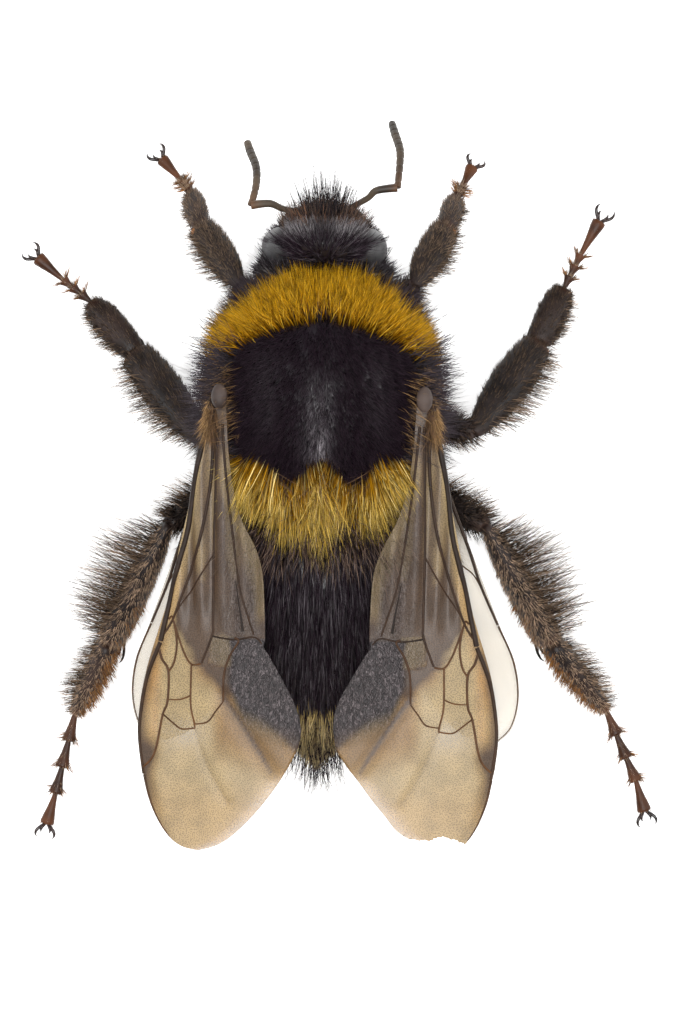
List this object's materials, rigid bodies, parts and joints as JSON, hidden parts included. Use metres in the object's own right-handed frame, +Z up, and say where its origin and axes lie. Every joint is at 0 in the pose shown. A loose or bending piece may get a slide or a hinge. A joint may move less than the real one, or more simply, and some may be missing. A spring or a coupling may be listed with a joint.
{
  "type": "bumblebee",
  "caption": "Life-size still model of a queen garden bumblebee standing on her feet, wings folded back over the abdomen, antennae forward.",
  "frame": {"origin": "the middle of the footprint of the whole bee, on the floor it stands on", "axes": "+Z up; +Y runs from the head to the tail, so the bee faces -Y; +X is the bee's left"},
  "size_m": [0.024, 0.0272, 0.0093],
  "materials": {
    "yellow_fur": "dense soft golden fur",
    "black_fur": "dense black fur with a faint sheen",
    "buff_fur": "thin buff fur",
    "black_cuticle": "semi-gloss black-brown shell, finely pitted",
    "brown_cuticle": "semi-gloss red-brown shell",
    "eye": "glossy dark grey, finely faceted",
    "wing": "clear smoky amber membrane with brown veins"
  },
  "bodies": {
    "root": {"abdomen_segment_1": "black_fur", "abdomen_segment_2": "black_fur", "abdomen_segment_3": "black_fur", "abdomen_segment_4": "black_fur", "abdomen_segment_5": "buff_fur", "abdomen_segment_6": "buff_fur", "antenna_left_flagellum": "black_cuticle", "antenna_left_scape": "black_cuticle", "antenna_right_flagellum": "black_cuticle", "antenna_right_scape": "black_cuticle", "clypeus": "black_cuticle", "collar": "yellow_fur", "eye_left": "eye", "eye_right": "eye", "forewing_left": "wing", "forewing_right": "wing", "head": "black_fur", "hindwing_left": "wing", "hindwing_right": "wing", "leg_front_left_basitarsus": "brown_cuticle", "leg_front_left_coxa": "black_cuticle", "leg_front_left_femur": "black_cuticle", "leg_front_left_tarsus": "brown_cuticle", "leg_front_left_tibia": "black_cuticle", "leg_front_right_basitarsus": "brown_cuticle", "leg_front_right_coxa": "black_cuticle", "leg_front_right_femur": "black_cuticle", "leg_front_right_tarsus": "brown_cuticle", "leg_front_right_tibia": "black_cuticle", "leg_hind_left_basitarsus": "brown_cuticle", "leg_hind_left_coxa": "black_cuticle", "leg_hind_left_femur": "black_cuticle", "leg_hind_left_tarsus": "brown_cuticle", "leg_hind_left_tibia": "black_cuticle", "leg_hind_right_basitarsus": "brown_cuticle", "leg_hind_right_coxa": "black_cuticle", "leg_hind_right_femur": "black_cuticle", "leg_hind_right_tarsus": "brown_cuticle", "leg_hind_right_tibia": "black_cuticle", "leg_middle_left_basitarsus": "brown_cuticle", "leg_middle_left_coxa": "black_cuticle", "leg_middle_left_femur": "black_cuticle", "leg_middle_left_tarsus": "brown_cuticle", "leg_middle_left_tibia": "black_cuticle", "leg_middle_right_basitarsus": "brown_cuticle", "leg_middle_right_coxa": "black_cuticle", "leg_middle_right_femur": "black_cuticle", "leg_middle_right_tarsus": "brown_cuticle", "leg_middle_right_tibia": "black_cuticle", "mandible_left": "brown_cuticle", "mandible_right": "brown_cuticle", "proboscis": "brown_cuticle", "scutellum": "yellow_fur", "tegula_left": "brown_cuticle", "tegula_right": "brown_cuticle", "thorax": "black_fur"}
  },
  "joints": []
}
